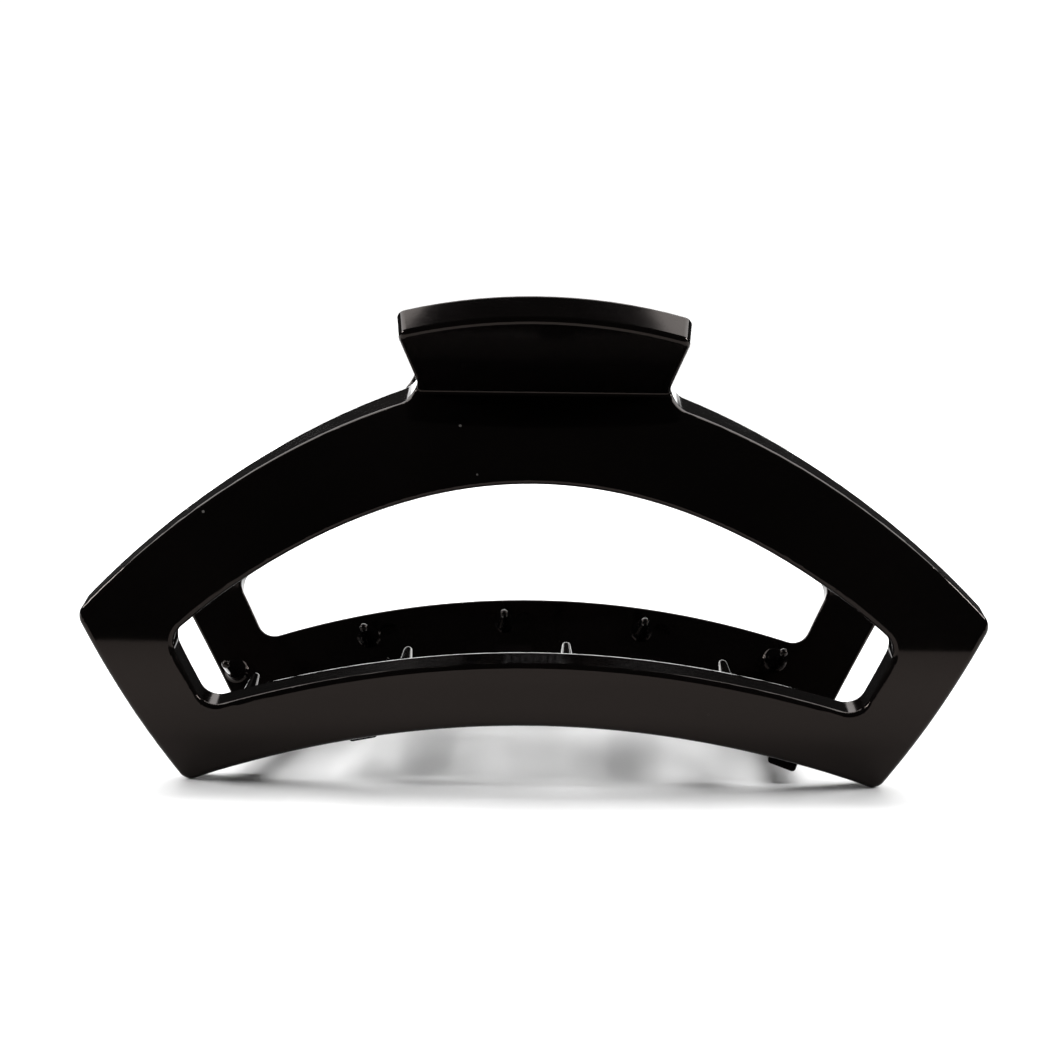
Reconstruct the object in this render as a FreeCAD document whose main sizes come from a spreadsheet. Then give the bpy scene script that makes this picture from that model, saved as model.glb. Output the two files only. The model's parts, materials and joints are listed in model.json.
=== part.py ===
import FreeCAD, Part
import math
import os
import Sketcher

# A large open-frame claw clip for hair, standing closed on the corners of its jaws.
# Frame: X runs along the clip's width, the front jaw is at -Y, +Z is up, and the hinge
# axis runs along X midway between the jaws. The two jaws are one moulding used twice,
# the second one turned half a turn about Z. All sizes are in millimetres.

Vector = FreeCAD.Vector
Placement = FreeCAD.Placement
Rotation = FreeCAD.Rotation

document = FreeCAD.newDocument("ClawClip")
sheet = document.addObject("Spreadsheet::Sheet", "Sheet")

DIMENSIONS = (
    # Side profile of a jaw: a bulging shell and, above its crease, a flat thumb handle.
    ("pad_width", 116.0),
    ("jaw_reach", 24.0),
    ("bulge_radius", 44.0),
    ("bulge_height", 19.0),
    ("wall", 3.4),
    ("profile_foot", 4.0),
    ("crease_height", 48.7),
    ("handle_lean", 45.0),
    ("handle_length", 12.8),
    ("handle_spare", 4.0),
    ("handle_thickness", 4.4),
    # Outline of a jaw, laid out on a plane square to the direction the mould opens in.
    ("draw_angle", 18.0),
    ("half_width", 55.6),
    ("half_foot", 43.35),
    ("arch_radius", 78.36),
    ("arch_centre", -27.29),
    ("foot_radius", 111.85),
    ("foot_centre", -97.24),
    ("neck_half", 15.4),
    ("handle_half", 20.7),
    ("handle_shift", 1.0),
    ("handle_clear", 68.0),
    ("window_half_top", 44.3),
    ("window_half_sill", 40.07),
    ("window_top_radius", 67.76),
    ("window_top_centre", -26.05),
    ("sill_radius", 130.0),
    ("sill_centre", -107.2),
    ("outline_spare", 70.0),
    ("handle_crown_radius", 53.0),
    ("handle_crown_half", 24.0),
    # Rounded edges and corners.
    ("foot_corner", 1.6),
    ("end_corner", 1.8),
    ("neck_fillet", 2.5),
    ("window_corner", 2.6),
    ("handle_corner", 1.4),
    ("crease_fillet", 0.5),
    ("ridge_fillet", 1.6),
    ("outer_edge", 0.7),
    ("window_edge", 0.6),
    ("inner_edge", 0.4),
    # Grip pegs on the inside of the lower band, with an ejector mark beside each one.
    ("peg_first", 4.25),
    ("peg_arc_drop", 3.3),
    ("peg_step_angle", 9.2),
    ("peg_root", 17.2),
    ("peg_flare_start", 15.4),
    ("peg_flare_end", 13.9),
    ("peg_tip", 6.4),
    ("peg_flare_radius", 1.8),
    ("peg_root_radius", 1.25),
    ("peg_tip_radius", 0.6),
    ("mark_shift", 2.9),
    ("mark_radius", 1.4),
    ("mark_floor", 15.35),
    # Claws that spring from the lower edge and pass between those of the other jaw. Each
    # section is square to the draw: how far out, lowest, highest, how wide.
    ("claw_first", 2.96),
    ("claw_step_angle", 10.1),
    ("claw_far_angle", 10.7),
    ("root_out", 16.6),
    ("root_low", 14.75),
    ("root_high", 16.6),
    ("root_wide", 5.7),
    ("heel_out", 6.0),
    ("heel_low", 10.6),
    ("heel_high", 13.2),
    ("heel_wide", 4.8),
    ("middle_out", -4.2),
    ("middle_low", 6.5),
    ("middle_high", 9.0),
    ("middle_wide", 4.2),
    ("tip_out", -17.6),
    ("tip_low", 1.75),
    ("tip_high", 3.75),
    ("tip_wide", 3.7),
    ("claw_corner", 0.5),
    # Hinge: two ears on each jaw, a pin through all four, a coil spring between them.
    ("hinge_height", 45.2),
    ("ear_radius", 3.4),
    ("ear_top_reach", 10.0),
    ("ear_foot_reach", 15.3),
    ("outer_ear_start", -12.6),
    ("inner_ear_start", 5.9),
    ("ear_width", 3.2),
    ("pin_radius", 1.0),
    ("pin_clearance", 0.05),
    ("pin_reach", 13.2),
    ("pin_chamfer", 0.3),
    ("pin_head_gap", 0.3),
    ("pin_head_radius", 1.7),
    ("pin_head_thick", 0.8),
    ("pin_head_round", 0.5),
    ("wire_radius", 0.6),
    ("coil_radius", 4.0),
    ("coil_half_length", 5.0),
    ("coil_turns", 8.0),
    ("leg_contact", 8.0),
    ("leg_gap", 0.03),
)
for row, (alias, size) in enumerate(DIMENSIONS, start=1):
    sheet.set("A%d" % row, alias)
    sheet.set("B%d" % row, repr(size))
    sheet.setAlias("B%d" % row, alias)
document.recompute()
size_of = dict(DIMENSIONS)

# Where the bulge's centre lies in the side view, in expressions over the sheet.
BULGE_Y = "(Sheet.bulge_radius - Sheet.jaw_reach)"


def fill(expression):
    """Write the sheet's name in front of each alias of a short expression."""
    words = sorted(size_of, key=len, reverse=True)
    for word in words:
        expression = expression.replace("<" + word + ">", "Sheet." + word)
    return expression


def value(expression):
    """Work out an expression over the sheet as a plain number."""
    result = sheet.evalExpression(fill(expression).replace("Sheet.", ""))
    return float(getattr(result, "Value", result))


def arc_height(centre, radius, across):
    """Expression for the height of an arc over a distance from the middle."""
    return "<%s> + sqrt(<%s>^2 - (%s)^2)" % (centre, radius, across)


def origin_plane(body, role):
    """Find one of a body's own origin planes."""
    for feature in body.Origin.OriginFeatures:
        if feature.Role == role:
            return feature
    raise ValueError(role)


def new_sketch(body, name, role, tilt=None, axis=(1, 0, 0), shift=None):
    """Make a sketch on an origin plane, turned about one of its own axes and shifted."""
    sketch = body.newObject("Sketcher::SketchObject", name)
    sketch.AttachmentSupport = (origin_plane(body, role), [""])
    sketch.MapMode = "FlatFace"
    if tilt:
        turned = Rotation(Vector(*axis), value(tilt))
        sketch.AttachmentOffset = Placement(Vector(), turned)
        sketch.setExpression("AttachmentOffset.Rotation.Angle", fill(tilt))
    for direction, expression in (shift or {}).items():
        sketch.setExpression("AttachmentOffset.Base." + direction, fill(expression))
    document.recompute()
    return sketch


def bind(sketch, constraint, expression):
    """Add a dimension to a sketch and tie it to an expression over the sheet."""
    index = sketch.addConstraint(constraint)
    sketch.setExpression("Constraints[%d]" % index, fill(expression))


def pin_point(sketch, geometry, position, across, up):
    """Fix a point of a sketch by its two distances from the sketch's origin."""
    for kind, expression in (("DistanceX", across), ("DistanceY", up)):
        if expression is not None:
            distance = value(expression)
            constraint = Sketcher.Constraint(kind, -1, 1, geometry, position, distance)
            bind(sketch, constraint, expression)


def arc_through(start, end, radius, turn):
    """Arc between two points; turn is 1 for a centre on the left and -1 on the right."""
    chord = end - start
    middle = (start + end) * 0.5
    left = Vector(-chord.y, chord.x, 0).normalize()
    rise = math.sqrt(radius ** 2 - (chord.Length / 2) ** 2)
    centre = middle + left * (rise * turn)
    first, last = (start, end) if turn > 0 else (end, start)
    angles = [math.atan2(point.y - centre.y, point.x - centre.x) for point in (first, last)]
    if angles[1] < angles[0]:
        angles[1] += 2 * math.pi
    return Part.ArcOfCircle(Part.Circle(centre, Vector(0, 0, 1), radius), *angles)


def draw_loop(sketch, corners, edges):
    """Draw a closed outline. Each corner is a pair of expressions; each edge is None for a
    straight line, or the expression of an arc's radius and the side its centre is on."""
    points = [Vector(value(across), value(up), 0) for across, up in corners]
    ends = []
    for index, edge in enumerate(edges):
        start = points[index]
        end = points[(index + 1) % len(points)]
        if edge is None:
            geometry = sketch.addGeometry(Part.LineSegment(start, end), False)
            ends.append((geometry, 1, 2))
        else:
            radius, turn = edge
            geometry = sketch.addGeometry(arc_through(start, end, value(radius), turn), False)
            bind(sketch, Sketcher.Constraint("Radius", geometry, value(radius)), radius)
            ends.append((geometry, 1, 2) if turn > 0 else (geometry, 2, 1))
    for index, (geometry, first, last) in enumerate(ends):
        following = ends[(index + 1) % len(ends)]
        sketch.addConstraint(Sketcher.Constraint("Coincident", geometry, last,
                                                 following[0], following[1]))
        across, up = corners[index]
        pin_point(sketch, geometry, first, across, up)


def draw_circle(sketch, across, up, radius):
    """Draw a circle with a bound centre and radius."""
    centre = Vector(value(across), value(up), 0)
    geometry = sketch.addGeometry(Part.Circle(centre, Vector(0, 0, 1), value(radius)), False)
    pin_point(sketch, geometry, 3, across, up)
    bind(sketch, Sketcher.Constraint("Radius", geometry, value(radius)), radius)


def set_through_all(feature):
    """Make a Pocket cut right through on both sides of its sketch."""
    feature.SideType = "Symmetric"
    feature.Type = "ThroughAll"


def checked_volume(body, feature, sign):
    """Recompute, and make sure the newest feature added (1) or removed (-1) material."""
    before = checked_volume.last.get(body.Name, 0.0)
    document.recompute()
    after = feature.Shape.Volume
    if (after - before) * sign <= 0:
        raise RuntimeError("%s changed nothing: %.3f to %.3f" % (feature.Label, before, after))
    checked_volume.last[body.Name] = after


checked_volume.last = {}


def draw_coordinates(point):
    """Distance across the clip and height on the plane square to the mould's draw."""
    angle = math.radians(size_of["draw_angle"])
    return point.x, point.z * math.cos(angle) - point.y * math.sin(angle)


def round_edges(body, name, base, radius, wanted, needed=1):
    """Fillet every edge of a feature that the test function accepts."""
    names = []
    for index, edge in enumerate(base.Shape.Edges, start=1):
        if wanted(edge):
            names.append("Edge%d" % index)
    if len(names) < needed:
        raise RuntimeError("%s found %d edges" % (name, len(names)))
    fillet = body.newObject("PartDesign::Fillet", name)
    fillet.Base = (base, names)
    fillet.Radius = value(radius)
    fillet.setExpression("Radius", fill(radius))
    document.recompute()
    if fillet.Shape.isNull() or not fillet.Shape.isValid():
        raise RuntimeError(name + " failed")
    checked_volume.last[body.Name] = fillet.Shape.Volume
    return fillet


def draw_edge_at(places, slack=0.05):
    """Test for the edges that run along the draw through given corners of the outline."""
    def test(edge):
        if len(edge.Vertexes) != 2:
            return False
        seen = [draw_coordinates(vertex.Point) for vertex in edge.Vertexes]
        for across, up in places:
            if all(abs(x - across) < slack and abs(height - up) < slack for x, height in seen):
                return True
        return False
    return test


def bulge_distance(point):
    """Distance of a point from the axis of the jaw's bulge."""
    centre_y = size_of["bulge_radius"] - size_of["jaw_reach"]
    return math.hypot(point.y - centre_y, point.z - size_of["bulge_height"])


def mid_point(edge):
    """Point halfway along an edge."""
    return edge.valueAt((edge.FirstParameter + edge.LastParameter) / 2)


def add_profile(body):
    """Side view of the jaw: bulging shell, crease and leaning handle, padded across."""
    sketch = new_sketch(body, "side_profile", "YZ_Plane")
    foot = BULGE_Y + " - sqrt((%s)^2 - (<bulge_height> + <profile_foot>)^2)"
    crease_y = BULGE_Y + " - sqrt(<bulge_radius>^2 - (<crease_height> - <bulge_height>)^2)"
    along = "(<handle_length> + <handle_spare>)"
    lip_y = crease_y + " - " + along + " * sin(<handle_lean> * 1 deg)"
    lip_z = "<crease_height> + " + along + " * cos(<handle_lean> * 1 deg)"
    corners = (
        (foot % "<bulge_radius>", "-<profile_foot>"),
        (crease_y, "<crease_height>"),
        (lip_y, lip_z),
        (lip_y + " + <handle_thickness> * cos(<handle_lean> * 1 deg)",
         lip_z + " + <handle_thickness> * sin(<handle_lean> * 1 deg)"),
    )
    points = [Vector(value(across), value(up), 0) for across, up in corners]
    inner_radius = "<bulge_radius> - <wall>"
    inner_foot = Vector(value(foot % ("(" + inner_radius + ")")), value("-<profile_foot>"), 0)
    ridge = ridge_point(points[3])
    shell = sketch.addGeometry(arc_through(points[0], points[1], value("<bulge_radius>"), -1))
    under = sketch.addGeometry(Part.LineSegment(points[1], points[2]))
    lip = sketch.addGeometry(Part.LineSegment(points[2], points[3]))
    upper = sketch.addGeometry(Part.LineSegment(points[3], ridge))
    inside = sketch.addGeometry(arc_through(ridge, inner_foot, value(inner_radius), 1))
    bottom = sketch.addGeometry(Part.LineSegment(inner_foot, points[0]))
    joins = ((shell, 1, under, 1), (under, 2, lip, 1), (lip, 2, upper, 1),
             (upper, 2, inside, 1), (inside, 2, bottom, 1), (bottom, 2, shell, 2))
    for join in joins:
        sketch.addConstraint(Sketcher.Constraint("Coincident", *join))
    pin_point(sketch, shell, 3, BULGE_Y, "<bulge_height>")
    bind(sketch, Sketcher.Constraint("Radius", shell, value("<bulge_radius>")), "<bulge_radius>")
    sketch.addConstraint(Sketcher.Constraint("Coincident", inside, 3, shell, 3))
    bind(sketch, Sketcher.Constraint("Radius", inside, value(inner_radius)), inner_radius)
    pin_point(sketch, shell, 2, None, corners[0][1])
    pin_point(sketch, inside, 2, None, corners[0][1])
    pin_point(sketch, shell, 1, None, corners[1][1])
    pin_point(sketch, lip, 1, *corners[2])
    pin_point(sketch, lip, 2, *corners[3])
    sketch.addConstraint(Sketcher.Constraint("Parallel", under, upper))
    document.recompute()
    pad = body.newObject("PartDesign::Pad", "shell_and_handle")
    pad.Profile = sketch
    pad.SideType = "Symmetric"
    pad.setExpression("Length", fill("<pad_width>"))
    checked_volume(body, pad, 1)
    return pad


def ridge_point(lip_top):
    """Where the handle's upper face runs into the inside of the bulging shell."""
    lean = math.radians(size_of["handle_lean"])
    down = Vector(math.sin(lean), -math.cos(lean), 0)
    centre = Vector(value(BULGE_Y), size_of["bulge_height"], 0)
    radius = size_of["bulge_radius"] - size_of["wall"]
    offset = lip_top - centre
    half = offset.dot(down)
    distance = -half - math.sqrt(half ** 2 - offset.dot(offset) + radius ** 2)
    return lip_top + down * distance


def round_long_edges(body, solid):
    """Soften the long edges: wide on the outside of the shell, narrow everywhere else."""
    edges = (
        ("outer_rim", "<outer_edge>", is_outer_rim, 8),
        ("window_rim", "<window_edge>", is_window_rim, 8),
        ("inner_rim", "<inner_edge>", is_inner_rim, 12),
        ("inner_window_rim", "<inner_edge>", is_inner_window_rim, 8),
    )
    for name, radius, test, needed in edges:
        solid = round_edges(body, name, solid, radius, test, needed)
    return solid


def in_window(point, slack=0.6):
    """Whether a point, seen along the draw, lies within the window or on its border."""
    x, height = draw_coordinates(point)
    if abs(x) > size_of["window_half_top"] + slack:
        return False
    sill = size_of["sill_centre"] + math.sqrt(size_of["sill_radius"] ** 2 - x ** 2)
    head = size_of["window_top_centre"] + math.sqrt(size_of["window_top_radius"] ** 2 - x ** 2)
    return sill - slack < height < head + slack


def on_shell(edge, inset):
    """Whether an edge lies on the bulge, at a depth below its outer face."""
    return abs(bulge_distance(mid_point(edge)) - size_of["bulge_radius"] + inset) < 0.02


def on_handle(edge, depth):
    """Whether an edge lies on the handle, at a depth above its lower face."""
    middle = mid_point(edge)
    lean = math.radians(size_of["handle_lean"])
    crease = size_of["crease_height"] - size_of["bulge_height"]
    crease_y = (size_of["bulge_radius"] - size_of["jaw_reach"]
                - math.sqrt(size_of["bulge_radius"] ** 2 - crease ** 2))
    rise = ((middle.y - crease_y) * math.cos(lean)
            + (middle.z - size_of["crease_height"]) * math.sin(lean))
    return abs(rise - depth) < 0.02 and middle.z > size_of["crease_height"]


def runs_across(edge):
    """Whether an edge is one of the straight lines across the clip at crease or ridge."""
    middle = mid_point(edge)
    return abs(middle.x) < 1 and middle.z < size_of["crease_height"] + 4 and is_straight(edge)


def is_straight(edge):
    """Whether an edge is a straight line."""
    return isinstance(edge.Curve, (Part.Line, Part.LineSegment))


def is_outer_rim(edge):
    """Outer edges of the shell, short of the necks."""
    return (on_shell(edge, 0) and not in_window(mid_point(edge))
            and mid_point(edge).z < size_of["crease_height"] - 0.9)


def is_window_rim(edge):
    """Edges of the window on the outer face."""
    return on_shell(edge, 0) and in_window(mid_point(edge))


def is_inner_rim(edge):
    """Inner edges of the shell, on over the ridge to the upper edges of the handle."""
    if runs_across(edge):
        return False
    middle = mid_point(edge)
    beside_neck = abs(middle.x - size_of["handle_shift"]) > size_of["neck_half"]
    on_ridge = (beside_neck and edge.Length > size_of["ridge_fillet"]
                and middle.y > -8.5 and middle.z > size_of["crease_height"])
    return (on_ridge or on_handle(edge, size_of["handle_thickness"])
            or (on_shell(edge, size_of["wall"]) and not in_window(middle)))


def is_inner_window_rim(edge):
    """Edges of the window on the inner face."""
    return on_shell(edge, size_of["wall"]) and in_window(mid_point(edge))


def make_outline_tool(name):
    """A prism along the mould's draw with the jaw's outline, its window and its corners."""
    body = new_body(name)
    sketch = new_sketch(body, name + "_outline", "XZ_Plane", "<draw_angle>")
    foot = arc_height("foot_centre", "foot_radius", "<half_foot>")
    shoulder = arc_height("arch_centre", "arch_radius", "<half_width>")
    right_neck = "<handle_shift> + <neck_half>"
    left_neck = "<handle_shift> - <neck_half>"
    right = (("<half_foot>", foot), ("<half_width>", shoulder),
             (right_neck, arc_height("arch_centre", "arch_radius", right_neck)),
             ("<handle_shift> + <handle_half>", "<handle_clear>"))
    left = (("<handle_shift> - <handle_half>", "<handle_clear>"),
            (left_neck, arc_height("arch_centre", "arch_radius", left_neck)),
            ("-<half_width>", shoulder), ("-<half_foot>", foot))
    draw_loop(sketch, right + left,
              (None, ("<arch_radius>", 1), None, None, None, ("<arch_radius>", 1), None,
               ("<foot_radius>", -1)))
    pad = body.newObject("PartDesign::Pad", name + "_prism")
    pad.Profile = sketch
    pad.SideType = "Symmetric"
    pad.setExpression("Length", fill("<pad_width>"))
    checked_volume(body, pad, 1)
    window = new_sketch(body, name + "_window", "XZ_Plane", "<draw_angle>")
    sill = arc_height("sill_centre", "sill_radius", "<window_half_sill>")
    head = arc_height("window_top_centre", "window_top_radius", "<window_half_top>")
    draw_loop(window, (("<window_half_sill>", sill), ("<window_half_top>", head),
                       ("-<window_half_top>", head), ("-<window_half_sill>", sill)),
              (None, ("<window_top_radius>", 1), None, ("<sill_radius>", -1)))
    document.recompute()
    pocket = body.newObject("PartDesign::Pocket", name + "_opening")
    pocket.Profile = window
    set_through_all(pocket)
    checked_volume(body, pocket, -1)
    solid = pocket
    corners = (
        ("foot_corners", "<foot_corner>", ("<half_foot>", "-<half_foot>")),
        ("end_corners", "<end_corner>", ("<half_width>", "-<half_width>")),
        ("sill_corners", "<window_corner>", ("<window_half_sill>", "-<window_half_sill>")),
        ("head_corners", "<window_corner>", ("<window_half_top>", "-<window_half_top>")),
        ("necks", "<neck_fillet>", (right_neck, left_neck)),
    )
    heights = {"foot_corners": foot, "end_corners": shoulder, "sill_corners": sill,
               "head_corners": head}
    for corner, radius, sides in corners:
        places = []
        for across in sides:
            up = heights.get(corner) or arc_height("arch_centre", "arch_radius", across)
            places.append((value(across), value(up)))
        solid = round_edges(body, name + "_" + corner, solid, radius, draw_edge_at(places), 2)
    return body


def add_outline(body):
    """Trim the padded strip to the outline by keeping what it shares with the prism."""
    tool = make_outline_tool(body.Label + "_trim")
    common = body.newObject("PartDesign::Boolean", "trimmed")
    common.Type = "Common"
    common.setObjects([tool])
    checked_volume(body, common, -1)
    return common


def add_crown(body):
    """Trim the handle's end to a gentle arc, square to the handle's faces."""
    sketch = new_sketch(body, "handle_crown", "XZ_Plane", "<handle_lean>")
    crease_y = "(sqrt(<bulge_radius>^2 - (<crease_height> - <bulge_height>)^2) - " + BULGE_Y + ")"
    lean = "(<handle_lean> * 1 deg)"
    end = ("<crease_height> * cos(%s) + %s * sin(%s) + <handle_length>"
           % (lean, crease_y, lean))
    edge = end + " - <handle_crown_radius> + sqrt(<handle_crown_radius>^2 - <handle_crown_half>^2)"
    top = "<outline_spare>"
    draw_loop(sketch, (("<handle_crown_half>", edge), ("<handle_crown_half>", top),
                       ("-<handle_crown_half>", top), ("-<handle_crown_half>", edge)),
              (None, None, None, ("<handle_crown_radius>", -1)))
    document.recompute()
    pocket = body.newObject("PartDesign::Pocket", "handle_end")
    pocket.Profile = sketch
    set_through_all(pocket)
    checked_volume(body, pocket, -1)
    return pocket


def round_corners(body, solid):
    """Round the outline's corners and the crease before the long edges."""
    corners = (
        ("handle_corners", "<handle_corner>", is_handle_corner, 2),
        ("crease", "<crease_fillet>", is_crease, 1),
        ("ridge", "<ridge_fillet>", is_ridge, 1),
    )
    for name, radius, test, needed in corners:
        solid = round_edges(body, name, solid, radius, test, needed)
    return solid


def is_handle_corner(edge):
    """Edges through the handle's thickness at the two corners of its end."""
    if edge.Length > 2 * size_of["handle_thickness"]:
        return False
    middle = mid_point(edge)
    lip_z = size_of["crease_height"] + size_of["handle_length"] / 2
    beside_neck = abs(middle.x - size_of["handle_shift"]) > size_of["neck_half"]
    return beside_neck and middle.z > lip_z + 1


def is_crease(edge):
    """The sharp valley between the shell's outer face and the handle's lower face."""
    middle = mid_point(edge)
    on_shell = abs(bulge_distance(middle) - size_of["bulge_radius"]) < 0.05
    return (on_shell and abs(middle.z - size_of["crease_height"]) < 0.05
            and edge.Length > size_of["neck_half"])


def is_ridge(edge):
    """The ridge inside, where the handle's upper face meets the inside of the shell."""
    middle = mid_point(edge)
    inner_radius = size_of["bulge_radius"] - size_of["wall"]
    return (abs(bulge_distance(middle) - inner_radius) < 0.05
            and middle.z > size_of["crease_height"] and edge.Length > size_of["neck_half"])


def new_body(label):
    """Start one piece of the clip."""
    body = document.addObject("PartDesign::Body", label)
    body.Label = label
    document.recompute()
    return body


def draw_axis(body, name, centre):
    """A sketch whose normal is the draw direction through the centre of a band's arc."""
    shift = {"y": "<%s> * cos(<draw_angle> * 1 deg)" % centre,
             "z": "<%s> * sin(<draw_angle> * 1 deg)" % centre}
    return new_sketch(body, name, "XZ_Plane", "<draw_angle>", (1, 0, 0), shift)


def repeat_along_band(body, name, feature, axis, to_left, to_right):
    """Repeat a feature along the band, turning it about the centre of the band's arc; each
    side is given as how many more there are and the angle from one to the next."""
    sign = -1 if feature.TypeId == "PartDesign::Pocket" else 1
    for side, (count, step), reverse in (("left", to_left, False), ("right", to_right, True)):
        pattern = body.newObject("PartDesign::PolarPattern", name + "_" + side)
        pattern.Originals = [feature]
        pattern.Axis = (axis, ["N_Axis"])
        pattern.Reversed = reverse
        pattern.Occurrences = count + 1
        pattern.Angle = value("%d * %s" % (count, step))
        pattern.setExpression("Angle", fill("%d * %s" % (count, step)))
        body.Tip = pattern
        checked_volume(body, pattern, sign)


def add_marks(body, axis):
    """Shallow round ejector marks, each just beside a peg."""
    out = "<mark_floor>"
    height = "<sill_centre> + <sill_radius> - <peg_arc_drop>"
    shift = {"y": out + " * -sin(<draw_angle> * 1 deg)",
             "z": out + " * cos(<draw_angle> * 1 deg)"}
    sketch = new_sketch(body, "mark_outline", "XZ_Plane", "<draw_angle>", (1, 0, 0), shift)
    draw_circle(sketch, "<peg_first> - <mark_shift>", height, "<mark_radius>")
    document.recompute()
    pocket = body.newObject("PartDesign::Pocket", "ejector_mark")
    pocket.Profile = sketch
    pocket.Type = "Length"
    pocket.setExpression("Length", fill("<wall>"))
    checked_volume(body, pocket, -1)
    each_side = (2, "<peg_step_angle>")
    repeat_along_band(body, "ejector_marks", pocket, axis, each_side, each_side)


def add_pegs(body, axis):
    """Tapered pegs with a flared root and a round tip, standing along the draw."""
    height = "(<sill_centre> + <sill_radius> - <peg_arc_drop>)"
    shift = {"x": height + " * -sin(<draw_angle> * 1 deg)",
             "y": height + " * cos(<draw_angle> * 1 deg)",
             "z": "<peg_first>"}
    sketch = new_sketch(body, "peg_profile", "YZ_Plane", "<draw_angle>", (0, 0, 1), shift)
    flare_length = "(<peg_flare_start> - <peg_flare_end>)"
    draw_loop(sketch, (("-<peg_root>", "0"), ("-<peg_tip>", "0"),
                       ("-<peg_tip> - <peg_tip_radius>", "<peg_tip_radius>"),
                       ("-<peg_flare_end>", "<peg_root_radius>"),
                       ("-<peg_flare_start>", "<peg_flare_radius>"),
                       ("-<peg_root>", "<peg_flare_radius>")),
              (None, ("<peg_tip_radius>", 1), None, (flare_length, -1), None, None))
    document.recompute()
    peg = body.newObject("PartDesign::Revolution", "peg")
    peg.Profile = sketch
    peg.ReferenceAxis = (sketch, ["H_Axis"])
    peg.Angle = 360.0
    checked_volume(body, peg, 1)
    each_side = (2, "<peg_step_angle>")
    repeat_along_band(body, "pegs", peg, axis, each_side, each_side)


def claw_section(body, name):
    """One rounded rectangle of a claw, square to the draw."""
    out, low, high, wide = ("<%s_%s>" % (name, part) for part in ("out", "low", "high", "wide"))
    shift = {"y": out + " * -sin(<draw_angle> * 1 deg)",
             "z": out + " * cos(<draw_angle> * 1 deg)"}
    sketch = new_sketch(body, "claw_" + name, "XZ_Plane", "<draw_angle>", (1, 0, 0), shift)
    left = "<claw_first> - %s / 2" % wide
    right = "<claw_first> + %s / 2" % wide
    corner = "<claw_corner>"
    draw_loop(sketch, ((left + " + " + corner, low), (right + " - " + corner, low),
                       (right, low + " + " + corner), (right, high + " - " + corner),
                       (right + " - " + corner, high), (left + " + " + corner, high),
                       (left, high + " - " + corner), (left, low + " + " + corner)),
              (None, (corner, 1)) * 4)
    return sketch


def add_claws(body, axis):
    """Curved claws lofted from the band's lower edge to their blunt tips."""
    sections = [claw_section(body, name) for name in ("root", "heel", "middle", "tip")]
    document.recompute()
    claw = body.newObject("PartDesign::AdditiveLoft", "claw")
    claw.Profile = sections[0]
    claw.Sections = sections[1:]
    claw.Ruled = False
    checked_volume(body, claw, 1)
    repeat_along_band(body, "claws", claw, axis, (2, "<claw_step_angle>"), (1, "<claw_far_angle>"))


def add_ear(body, name, start):
    """One hinge ear: a barrel round the hinge axis and the web that joins it to the jaw."""
    barrel = new_sketch(body, name + "_barrel_outline", "YZ_Plane", shift={"z": start})
    draw_circle(barrel, "0", "<hinge_height>", "<ear_radius>")
    web = new_sketch(body, name + "_web_outline", "YZ_Plane", shift={"z": start})
    top = "<hinge_height> + <ear_radius>"
    foot = "<hinge_height> - <ear_radius>"
    draw_loop(web, (("0", foot), ("0", top), ("-<ear_top_reach>", top),
                    ("-<ear_foot_reach>", foot)), (None,) * 4)
    document.recompute()
    for part, sketch in (("_web", web), ("_barrel", barrel)):
        pad = body.newObject("PartDesign::Pad", name + part)
        pad.Profile = sketch
        pad.setExpression("Length", fill("<ear_width>"))
        checked_volume(body, pad, 1)


def add_bore(body, radius):
    """Bore both ears for the pin."""
    sketch = new_sketch(body, "bore_outline", "YZ_Plane")
    draw_circle(sketch, "0", "<hinge_height>", radius)
    document.recompute()
    pocket = body.newObject("PartDesign::Pocket", "bore")
    pocket.Profile = sketch
    set_through_all(pocket)
    checked_volume(body, pocket, -1)


def make_jaw(label, bore):
    """One jaw, in the front jaw's place."""
    body = new_body(label)
    add_profile(body)
    add_outline(body)
    solid = add_crown(body)
    solid = round_corners(body, solid)
    round_long_edges(body, solid)
    add_ear(body, "outer_ear", "<outer_ear_start>")
    add_ear(body, "inner_ear", "<inner_ear_start>")
    add_bore(body, bore)
    peg_axis = draw_axis(body, "peg_axis", "sill_centre")
    add_marks(body, peg_axis)
    add_pegs(body, peg_axis)
    add_claws(body, draw_axis(body, "claw_axis", "foot_centre"))
    return body


def make_pin(label):
    """The hinge pin: a plain shaft with a rounded head at one end."""
    body = new_body(label)
    sketch = new_sketch(body, "pin_profile", "XZ_Plane", shift={"y": "<hinge_height>"})
    head = "(<ear_width> + <inner_ear_start> + <pin_head_gap> + <ear_width>)"
    radius, reach, chamfer = "<pin_radius>", "<pin_reach>", "<pin_chamfer>"
    far = head + " + <pin_head_thick>"
    draw_loop(sketch, (("-" + reach, "0"), (far, "0"),
                       (far, "<pin_head_radius> - <pin_head_round>"),
                       (far + " - <pin_head_round>", "<pin_head_radius>"),
                       (head, "<pin_head_radius>"), (head, radius),
                       ("-" + reach + " + " + chamfer, radius),
                       ("-" + reach, radius + " - " + chamfer)),
              (None, None, ("<pin_head_round>", 1), None, None, None, None, None))
    document.recompute()
    pin = body.newObject("PartDesign::Revolution", "pin")
    pin.Profile = sketch
    pin.ReferenceAxis = (sketch, ["H_Axis"])
    pin.Angle = 360.0
    checked_volume(body, pin, 1)
    return body


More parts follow.
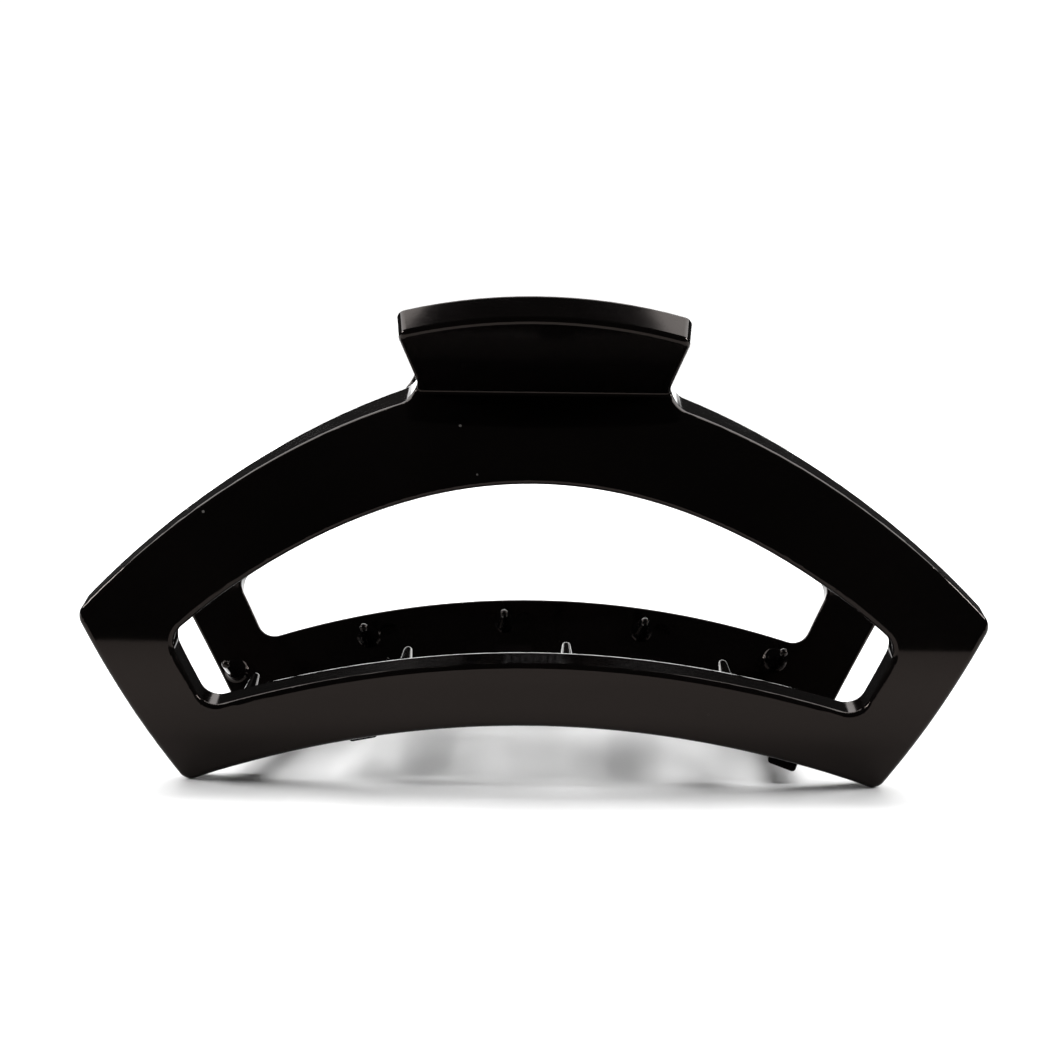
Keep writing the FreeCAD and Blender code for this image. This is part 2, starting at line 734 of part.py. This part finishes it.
def make_spring(label):
    """The torsion spring: a close coil round the pin, and a straight leg at each end that
    leaves the top of the coil and bears on the far handle's upper face."""
    wire = size_of["wire_radius"]
    coil = size_of["coil_radius"]
    half = size_of["coil_half_length"]
    lean = math.radians(size_of["handle_lean"])
    hinge = Vector(0, 0, size_of["hinge_height"])

    # The point where the front leg ends, just clear of the front handle's upper face.
    lip_top = front_lip_top()
    ridge = ridge_point(lip_top)
    face = Vector(-math.sin(lean), math.cos(lean), 0)
    clear = Vector(math.cos(lean), math.sin(lean), 0) * (wire + size_of["leg_gap"])
    tip = ridge + face * size_of["leg_contact"] + clear
    reach = Vector(tip.x - hinge.y, tip.y - hinge.z, 0)

    # The leg is tangent to the coil: the angle of the point where it leaves the coil.
    leave = math.atan2(reach.y, reach.x) - math.acos(coil / reach.Length)
    length = math.sqrt(reach.Length ** 2 - coil ** 2)
    winding = 2 * math.pi * size_of["coil_turns"] - 2 * (math.pi / 2 - leave)
    pitch = 2 * half / (winding / (2 * math.pi))

    helix = Part.makeHelix(pitch, 2 * half, coil)
    across = Vector(0, math.cos(leave), math.sin(leave))
    along = Vector(-1, 0, 0)
    side = along.cross(across)
    frame = FreeCAD.Matrix(across.x, side.x, along.x, half,
                           across.y, side.y, along.y, hinge.y,
                           across.z, side.z, along.z, hinge.z,
                           0, 0, 0, 1)
    helix = helix.transformGeometry(frame)
    rise = Vector(0, coil, pitch / (2 * math.pi)).normalize()
    direction = (side * rise.y + along * rise.z).normalize()
    start = hinge + across * coil + Vector(half, 0, 0)
    section = Part.Wire([Part.makeCircle(wire, start, direction)])
    coil_solid = Part.Wire(helix.Edges).makePipeShell([section], True, True)
    leg = Part.makeCylinder(wire, length, start, side * -1)
    leg = leg.fuse(Part.makeSphere(wire, start))
    other = leg.copy()
    other.rotate(Vector(0, 0, 0), Vector(0, 0, 1), 180)
    spring = document.addObject("Part::Feature", label)
    spring.Label = label
    spring.Shape = coil_solid.fuse([leg, other])
    return spring


def front_lip_top():
    """Upper edge of the front handle's end, in the side view, before rounding."""
    lean = math.radians(size_of["handle_lean"])
    rise = size_of["crease_height"] - size_of["bulge_height"]
    centre_y = size_of["bulge_radius"] - size_of["jaw_reach"]
    crease = Vector(centre_y - math.sqrt(size_of["bulge_radius"] ** 2 - rise ** 2),
                    size_of["crease_height"], 0)
    along = Vector(-math.sin(lean), math.cos(lean), 0) * size_of["handle_length"]
    return crease + along + Vector(math.cos(lean), math.sin(lean), 0) * size_of["handle_thickness"]


def lowest_point(shape):
    """Height of the lowest point of a shape."""
    return shape.optimalBoundingBox(False, False).ZMin


front_jaw = make_jaw("front_jaw", "<pin_radius> + <pin_clearance>")
rear_jaw = make_jaw("rear_jaw", "<pin_radius>")
hinge_pin = make_pin("hinge_pin")
torsion_spring = make_spring("torsion_spring")
pieces = (front_jaw, rear_jaw, hinge_pin, torsion_spring)

# The clip stands on the corners of its jaws, so everything is lifted until they touch z = 0.
lift = Vector(0, 0, -lowest_point(front_jaw.Shape))
for piece in pieces:
    turn = 180 if piece is rear_jaw else 0
    piece.Placement = Placement(lift, Rotation(Vector(0, 0, 1), turn))
document.recompute()

for feature in document.Objects:
    if "Invalid" in feature.State or "Error" in feature.State:
        raise RuntimeError("%s is %s" % (feature.Label, feature.State))
os.makedirs("parts", exist_ok=True)
for piece in pieces:
    shape = piece.Shape
    if shape.isNull() or not shape.isValid() or len(shape.Solids) != 1:
        raise RuntimeError(piece.Label + " is not one valid solid")
    shape.exportStep("parts/%s.step" % piece.Label)
    box = shape.optimalBoundingBox(False, False)
    print("%s: %.2f x %.2f x %.2f, from z %.3f, volume %.1f"
          % (piece.Label, box.XLength, box.YLength, box.ZLength, box.ZMin, shape.Volume))
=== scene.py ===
import json
import math

import bpy
from mathutils import Matrix, Vector


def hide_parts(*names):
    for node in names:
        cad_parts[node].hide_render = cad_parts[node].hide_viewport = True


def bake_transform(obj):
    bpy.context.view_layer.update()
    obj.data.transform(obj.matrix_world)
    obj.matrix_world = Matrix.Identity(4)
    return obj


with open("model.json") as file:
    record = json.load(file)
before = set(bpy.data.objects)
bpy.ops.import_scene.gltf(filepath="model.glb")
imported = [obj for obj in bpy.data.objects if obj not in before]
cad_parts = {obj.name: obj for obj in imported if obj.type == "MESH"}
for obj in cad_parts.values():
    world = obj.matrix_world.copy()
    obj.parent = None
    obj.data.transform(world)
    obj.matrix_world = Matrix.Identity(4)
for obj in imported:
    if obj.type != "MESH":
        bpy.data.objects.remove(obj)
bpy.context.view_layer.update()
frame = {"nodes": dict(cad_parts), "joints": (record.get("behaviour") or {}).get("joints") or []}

scene = bpy.context.scene
scene.view_settings.view_transform = "Standard"
nodes = frame["nodes"]

# ---------------------------------------------------------------- sizes, in metres

# The torsion spring: a close coil round the hinge pin with a straight leg at each end. The pin
# lies on the axis of the clip's one joint.
HINGE_HEIGHT = frame["joints"][0]["pos_m"][2]
COIL_RADIUS = 0.004
COIL_HALF_LENGTH = 0.005
COIL_TURNS = 7.857
WIRE_RADIUS = 0.0006
LEG_LENGTH = 0.0154
LEG_LEAVES_AT = math.radians(64.28)

COIL_STEPS_PER_TURN = 40
LEG_STEPS = 12
WIRE_RINGS = 6

# The floor ends just in front of the clip, and its front carries a painted shade that makes it a
# little darker, so the clip's lower band reflects it dimmer.
FLOOR_FRONT = -0.112
FLOOR_PALE_FROM = -0.03
FLOOR_BACK = 0.7
FLOOR_SIDE = 0.7

# ---------------------------------------------------------------- colours and shine

PLASTIC_DARK = (0.0009, 0.0008, 0.0008, 1)
PLASTIC_LIGHT = (0.0021, 0.0017, 0.0017, 1)
PLASTIC_DUST = (0.25, 0.24, 0.23, 1)
PLASTIC_IOR = 1.5
PLASTIC_SPECULAR = 0.18
PLASTIC_SPECULAR_TINT = (1.0, 0.83, 0.75, 1)
PLASTIC_ROUGHNESS = (0.06, 0.12)

PIN_LIGHT = (0.62, 0.62, 0.63, 1)
PIN_DARK = (0.48, 0.48, 0.49, 1)
SPRING_LIGHT = (0.30, 0.30, 0.31, 1)
SPRING_DARK = (0.20, 0.20, 0.21, 1)
STEEL_ROUGHNESS = (0.2, 0.36)
OIL_SPOT = (0.12, 0.10, 0.09, 1)

FLOOR_LIGHT = (0.92, 0.92, 0.92, 1)
FLOOR_MIDDLE = (0.88, 0.88, 0.88, 1)
# Painted shade: the tone the floor darkens to at its front edge.
FLOOR_FRONT_PAINTED_SHADE = (0.7, 0.7, 0.7, 1)
FLOOR_SPECULAR = 0.2
FLOOR_ROUGHNESS = (0.55, 0.7)

# How far a pattern is stretched along each axis.
EVEN = (1, 1, 1)
ALONG_THE_PIN = (0.05, 1, 1)

# Noise rarely leaves this range of values, so its two ends carry the two extremes of a look.
NOISE_RANGE = (0.3, 0.7)
CLOUD_RANGE = (0.35, 0.7)
SMUDGE_RANGE = (0.35, 0.75)

# A speck is solid out to this share of its radius, and fades from there.
SPECK_CORE = 0.6
# How much of the colour below a speck hides, and how much rougher it makes the surface.
DUST_HIDES = 0.5
DUST_ROUGHENS = 0.5
OIL_HIDES = 0.7
OIL_ROUGHENS = 0.3

# A scratch is noise stretched by this factor, where its value lies above 1 less the share.
SCRATCH_STRETCH = 0.04
SCRATCH_SHARE = 0.24
SCRATCH_EDGE = 0.02
SCRATCH_ROUGHENS = 0.05

# ---------------------------------------------------------------- studio

SURROUND_COLOUR = (1.0, 0.99, 0.98, 1)
SURROUND_LIGHT = 0.06
SURROUND_SEEN = 1.1

# Each softbox: its name, where it stands, what it is aimed at, its width and height, its watts.
SOFTBOXES = (
    ("top_softbox", (0.0, 0.4, 0.9), (0.0, 0.2, 0.0), (2.4, 0.6), 25.0),
    ("back_softbox", (0.0, 0.9, 0.22), (0.0, 0.0, 0.1), (0.72, 0.44), 4.0),
    ("left_softbox", (-0.9, -0.05, 0.5), (0.0, 0.0, 0.0), (0.24, 0.3), 8.0),
    ("right_softbox", (0.9, -0.05, 0.5), (0.0, 0.0, 0.0), (0.24, 0.3), 8.0),
)

# The camera's place in metres, its angles in degrees, its lens and sensor in millimetres.
CAMERA_PLACE = (0.00016, -0.213, 0.0534)
CAMERA_PITCH = 6.36
CAMERA_YAW = 0.21
CAMERA_ROLL = 0.7
CAMERA_LENS = 53.77
CAMERA_SENSOR = 36.0
CAMERA_NEAREST = 0.01

# ---------------------------------------------------------------- material helpers


def new_material(name):
    """A node material with only its Principled shader and its output."""
    material = bpy.data.materials.new(name)
    material.use_nodes = True
    tree = material.node_tree
    tree.nodes.clear()
    shader = tree.nodes.new("ShaderNodeBsdfPrincipled")
    output = tree.nodes.new("ShaderNodeOutputMaterial")
    tree.links.new(shader.outputs["BSDF"], output.inputs["Surface"])
    return material, tree, shader


def object_coordinates(tree, scale, turn=(0, 0, 0)):
    """Object coordinates turned and stretched, with an angle and a scale for each axis."""
    coordinates = tree.nodes.new("ShaderNodeTexCoord")
    mapping = tree.nodes.new("ShaderNodeMapping")
    mapping.inputs["Rotation"].default_value = turn
    mapping.inputs["Scale"].default_value = scale
    tree.links.new(coordinates.outputs["Object"], mapping.inputs["Vector"])
    return mapping.outputs["Vector"]


def noise(tree, place, cells_per_metre, detail, roughness=0.5):
    """Noise at a place; its scale is in cells for each metre of the place's coordinates."""
    node = tree.nodes.new("ShaderNodeTexNoise")
    node.inputs["Scale"].default_value = cells_per_metre
    node.inputs["Detail"].default_value = detail
    node.inputs["Roughness"].default_value = roughness
    tree.links.new(place, node.inputs["Vector"])
    return node.outputs["Fac"]


def ramp(tree, source, from_range, first_colour, last_colour):
    """Colours that run from the first to the last while the source runs over its range."""
    node = tree.nodes.new("ShaderNodeValToRGB")
    first, last = node.color_ramp.elements
    first.position, last.position = from_range
    first.color = first_colour
    last.color = last_colour
    tree.links.new(source, node.inputs["Fac"])
    return node.outputs["Color"]


def spread(tree, source, from_range, to_range):
    """One range of values mapped onto another, clamped."""
    node = tree.nodes.new("ShaderNodeMapRange")
    ends = from_range + to_range
    for socket, value in zip(("From Min", "From Max", "To Min", "To Max"), ends):
        node.inputs[socket].default_value = value
    tree.links.new(source, node.inputs["Value"])
    return node.outputs["Result"]


def combine(tree, kind, first, second):
    """Arithmetic on two values; either may be a plain number."""
    node = tree.nodes.new("ShaderNodeMath")
    node.operation = kind
    for index, source in enumerate((first, second)):
        if isinstance(source, (int, float)):
            node.inputs[index].default_value = source
        else:
            tree.links.new(source, node.inputs[index])
    return node.outputs["Value"]


def mix_colours(tree, factor, first, second):
    """The first colour where the factor is 0, and the second, a plain colour, where it is 1."""
    node = tree.nodes.new("ShaderNodeMix")
    node.data_type = "RGBA"
    tree.links.new(factor, node.inputs["Factor"])
    colours = [socket for socket in node.inputs if socket.type == "RGBA"]
    tree.links.new(first, colours[0])
    colours[1].default_value = second
    return [socket for socket in node.outputs if socket.type == "RGBA"][0]


def bump(tree, height, distance, strength, normal=None):
    """Bump from a height, on top of an earlier normal if there is one."""
    node = tree.nodes.new("ShaderNodeBump")
    node.inputs["Strength"].default_value = strength
    node.inputs["Distance"].default_value = distance
    tree.links.new(height, node.inputs["Height"])
    if normal:
        tree.links.new(normal, node.inputs["Normal"])
    return node.outputs["Normal"]


def dust(tree, cells_per_metre, share, size):
    """Tiny specks: 1 on a speck, 0 elsewhere. Share is how many cells carry one."""
    cell = tree.nodes.new("ShaderNodeTexVoronoi")
    cell.inputs["Scale"].default_value = cells_per_metre
    tree.links.new(object_coordinates(tree, EVEN), cell.inputs["Vector"])
    near = spread(tree, cell.outputs["Distance"], (size * SPECK_CORE, size), (1.0, 0.0))
    split = tree.nodes.new("ShaderNodeSeparateColor")
    tree.links.new(cell.outputs["Color"], split.inputs["Color"])
    chosen = combine(tree, "LESS_THAN", split.outputs["Red"], share)
    return combine(tree, "MULTIPLY", near, chosen)


def scratches(tree, turn, per_metre):
    """Fine hairline scratches in one direction: 1 on a scratch, 0 elsewhere."""
    stretch = (per_metre * SCRATCH_STRETCH, per_metre, per_metre)
    lines = noise(tree, object_coordinates(tree, stretch, turn), cells_per_metre=1.0, detail=2.0)
    edge = 1.0 - SCRATCH_SHARE
    return spread(tree, lines, (edge, edge + SCRATCH_EDGE), (0.0, 1.0))


# ---------------------------------------------------------------- materials


def plastic_colour(tree, place, specks):
    """Near-black with faint clouds and pale dust."""
    cloud = noise(tree, place, cells_per_metre=40.0, detail=3.0)
    body = ramp(tree, cloud, CLOUD_RANGE, PLASTIC_DARK, PLASTIC_LIGHT)
    return mix_colours(tree, combine(tree, "MULTIPLY", specks, DUST_HIDES), body, PLASTIC_DUST)


def plastic_roughness(tree, place, specks, hairlines):
    """Polished, with smudges from handling, and duller on scratches and dust."""
    smudge = noise(tree, place, cells_per_metre=90.0, detail=4.0, roughness=0.6)
    rough = spread(tree, smudge, SMUDGE_RANGE, PLASTIC_ROUGHNESS)
    rough = combine(tree, "ADD", rough, combine(tree, "MULTIPLY", hairlines, SCRATCH_ROUGHENS))
    return combine(tree, "ADD", rough, combine(tree, "MULTIPLY", specks, DUST_ROUGHENS))


def plastic_relief(tree, place, hairlines):
    """The slight waves of a moulding, a fine grain, and the scratches cut into it."""
    flow = noise(tree, place, cells_per_metre=130.0, detail=2.0)
    grain = noise(tree, place, cells_per_metre=1500.0, detail=2.0)
    normal = bump(tree, flow, distance=0.00002, strength=0.5)
    normal = bump(tree, grain, distance=0.0000015, strength=0.5, normal=normal)
    return bump(tree, hairlines, distance=0.000002, strength=0.4, normal=normal)


def black_plastic():
    """Polished black moulded plastic with faint handling marks and a little dust."""
    material, tree, shader = new_material("black_gloss_plastic")
    place = object_coordinates(tree, EVEN)
    specks = dust(tree, cells_per_metre=420.0, share=0.06, size=0.10)
    hairlines = combine(tree, "ADD", scratches(tree, (0.3, 0.2, 0.5), per_metre=2600.0),
                        scratches(tree, (0.1, 0.6, -0.7), per_metre=2100.0))
    tree.links.new(plastic_colour(tree, place, specks), shader.inputs["Base Color"])
    tree.links.new(plastic_roughness(tree, place, specks, hairlines), shader.inputs["Roughness"])
    tree.links.new(plastic_relief(tree, place, hairlines), shader.inputs["Normal"])
    shader.inputs["IOR"].default_value = PLASTIC_IOR
    shader.inputs["Specular IOR Level"].default_value = PLASTIC_SPECULAR
    shader.inputs["Specular Tint"].default_value = PLASTIC_SPECULAR_TINT
    return material


def drawn_steel(name, light, dark, stretch):
    """Drawn steel with fine lines along the wire and a few spots of oil."""
    material, tree, shader = new_material(name)
    cloud = noise(tree, object_coordinates(tree, EVEN), cells_per_metre=300.0, detail=3.0)
    tone = ramp(tree, cloud, NOISE_RANGE, dark, light)
    specks = dust(tree, cells_per_metre=1500.0, share=0.08, size=0.15)
    colour = mix_colours(tree, combine(tree, "MULTIPLY", specks, OIL_HIDES), tone, OIL_SPOT)
    tree.links.new(colour, shader.inputs["Base Color"])
    lines = noise(tree, object_coordinates(tree, stretch), cells_per_metre=2500.0, detail=3.0)
    rough = combine(tree, "ADD", spread(tree, lines, NOISE_RANGE, STEEL_ROUGHNESS),
                    combine(tree, "MULTIPLY", specks, OIL_ROUGHENS))
    tree.links.new(rough, shader.inputs["Roughness"])
    relief = bump(tree, lines, distance=0.000004, strength=0.5)
    tree.links.new(relief, shader.inputs["Normal"])
    shader.inputs["Metallic"].default_value = 1.0
    return material


def pale_floor():
    """A smooth, pale studio surface, with a painted shade that darkens it towards its front."""
    material, tree, shader = new_material("pale_floor")
    place = object_coordinates(tree, EVEN)
    cloud = noise(tree, place, cells_per_metre=3.0, detail=2.0)
    tone = ramp(tree, cloud, NOISE_RANGE, FLOOR_MIDDLE, FLOOR_LIGHT)
    axes = tree.nodes.new("ShaderNodeSeparateXYZ")
    tree.links.new(place, axes.inputs["Vector"])
    # Painted shade: from FLOOR_PALE_FROM to the front edge the floor darkens towards the front
    # tone.
    front = spread(tree, axes.outputs["Y"], (FLOOR_FRONT, FLOOR_PALE_FROM), (1.0, 0.0))
    colour = mix_colours(tree, front, tone, FLOOR_FRONT_PAINTED_SHADE)
    tree.links.new(colour, shader.inputs["Base Color"])
    wear = noise(tree, place, cells_per_metre=60.0, detail=3.0)
    rough = spread(tree, wear, NOISE_RANGE, FLOOR_ROUGHNESS)
    tree.links.new(rough, shader.inputs["Roughness"])
    grain = noise(tree, place, cells_per_metre=900.0, detail=2.0)
    tree.links.new(bump(tree, grain, distance=0.00001, strength=0.3), shader.inputs["Normal"])
    shader.inputs["Specular IOR Level"].default_value = FLOOR_SPECULAR
    return material


# ---------------------------------------------------------------- the clip


def cover(node_name, material):
    """Give a CAD node one material all over."""
    mesh = nodes[node_name].data
    mesh.materials.clear()
    mesh.materials.append(material)


def spring_path():
    """Points along the middle of the wire, from the front leg's tip to the rear one's."""
    outward = Vector((0, math.cos(LEG_LEAVES_AT), math.sin(LEG_LEAVES_AT)))
    along = Vector((-1, 0, 0))
    side = along.cross(outward)
    start = Vector((COIL_HALF_LENGTH, 0, HINGE_HEIGHT))
    foot = start + outward * COIL_RADIUS
    front_leg = [foot - side * (LEG_LENGTH * (1 - step / LEG_STEPS)) for step in range(LEG_STEPS)]
    winding = 2 * math.pi * COIL_TURNS
    count = int(COIL_TURNS * COIL_STEPS_PER_TURN)
    coil = []
    for step in range(count + 1):
        share = step / count
        turn = outward * math.cos(winding * share) + side * math.sin(winding * share)
        coil.append(start + turn * COIL_RADIUS + along * (2 * COIL_HALF_LENGTH * share))
    rear_leg = [Vector((-point.x, -point.y, point.z)) for point in reversed(front_leg)]
    return front_leg + coil + rear_leg


def wire_mesh(points):
    """A round wire along the points, with closed ends."""
    curve = bpy.data.curves.new("spring_wire", "CURVE")
    curve.dimensions = "3D"
    curve.bevel_depth = WIRE_RADIUS
    curve.bevel_resolution = WIRE_RINGS
    curve.use_fill_caps = True
    wire = curve.splines.new("POLY")
    wire.points.add(len(points) - 1)
    for target, point in zip(wire.points, points):
        target.co = (*point, 1.0)
    drawn = bpy.data.objects.new("spring_curve", curve)
    scene.collection.objects.link(drawn)
    bpy.context.view_layer.update()
    mesh = bpy.data.meshes.new_from_object(drawn)
    bpy.data.objects.remove(drawn)
    for polygon in mesh.polygons:
        polygon.use_smooth = True
    return mesh


def make_spring(material):
    """The spring as one smooth wire, built in place of the CAD spring, which it hides."""
    mesh = wire_mesh(spring_path())
    mesh.materials.clear()
    mesh.materials.append(material)
    spring = bpy.data.objects.new("coiled_spring", mesh)
    scene.collection.objects.link(spring)
    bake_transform(spring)
    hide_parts("torsion_spring")


# ---------------------------------------------------------------- stage, light, camera


def add_floor():
    """A flat, pale floor that ends just in front of the clip, where the surround takes over."""
    corners = [(-FLOOR_SIDE, FLOOR_FRONT, 0), (FLOOR_SIDE, FLOOR_FRONT, 0),
               (FLOOR_SIDE, FLOOR_BACK, 0), (-FLOOR_SIDE, FLOOR_BACK, 0)]
    mesh = bpy.data.meshes.new("floor")
    mesh.from_pydata(corners, [], [(0, 1, 2, 3)])
    mesh.materials.append(pale_floor())
    floor = bpy.data.objects.new("floor", mesh)
    scene.collection.objects.link(floor)


def add_world():
    """A white surround to look at that casts only a little light of its own."""
    world = bpy.data.worlds.new("studio")
    world.use_nodes = True
    tree = world.node_tree
    background = tree.nodes["Background"]
    background.inputs["Color"].default_value = SURROUND_COLOUR
    rays = tree.nodes.new("ShaderNodeLightPath")
    strength = spread(tree, rays.outputs["Is Camera Ray"], (0.0, 1.0),
                      (SURROUND_LIGHT, SURROUND_SEEN))
    tree.links.new(strength, background.inputs["Strength"])
    scene.world = world


def add_softbox(name, place, target, size, power):
    """A rectangular area light aimed at a point, and out of the camera's sight."""
    light = bpy.data.lights.new(name, "AREA")
    light.shape = "RECTANGLE"
    light.size, light.size_y = size
    light.energy = power
    lamp = bpy.data.objects.new(name, light)
    lamp.location = place
    aim = Vector(target) - Vector(place)
    lamp.rotation_euler = aim.to_track_quat("-Z", "Y").to_euler()
    lamp.visible_camera = False
    scene.collection.objects.link(lamp)


def add_camera():
    """A camera a little above the clip's middle, looking slightly down at its front."""
    data = bpy.data.cameras.new("camera")
    data.lens = CAMERA_LENS
    data.sensor_width = CAMERA_SENSOR
    data.clip_start = CAMERA_NEAREST
    camera = bpy.data.objects.new("camera", data)
    tilt = Matrix.Rotation(math.radians(90 - CAMERA_PITCH), 4, "X")
    roll = Matrix.Rotation(math.radians(CAMERA_ROLL), 4, "Z")
    yaw = Matrix.Rotation(math.radians(CAMERA_YAW), 4, "Z")
    camera.matrix_world = Matrix.Translation(CAMERA_PLACE) @ yaw @ tilt @ roll
    scene.collection.objects.link(camera)
    scene.camera = camera


# ---------------------------------------------------------------- the whole scene

plastic = black_plastic()
for jaw_name in ("front_jaw", "rear_jaw"):
    cover(jaw_name, plastic)
cover("hinge_pin", drawn_steel("pin_steel", PIN_LIGHT, PIN_DARK, ALONG_THE_PIN))
make_spring(drawn_steel("spring_steel", SPRING_LIGHT, SPRING_DARK, EVEN))

add_floor()
add_world()
for softbox in SOFTBOXES:
    add_softbox(*softbox)
add_camera()
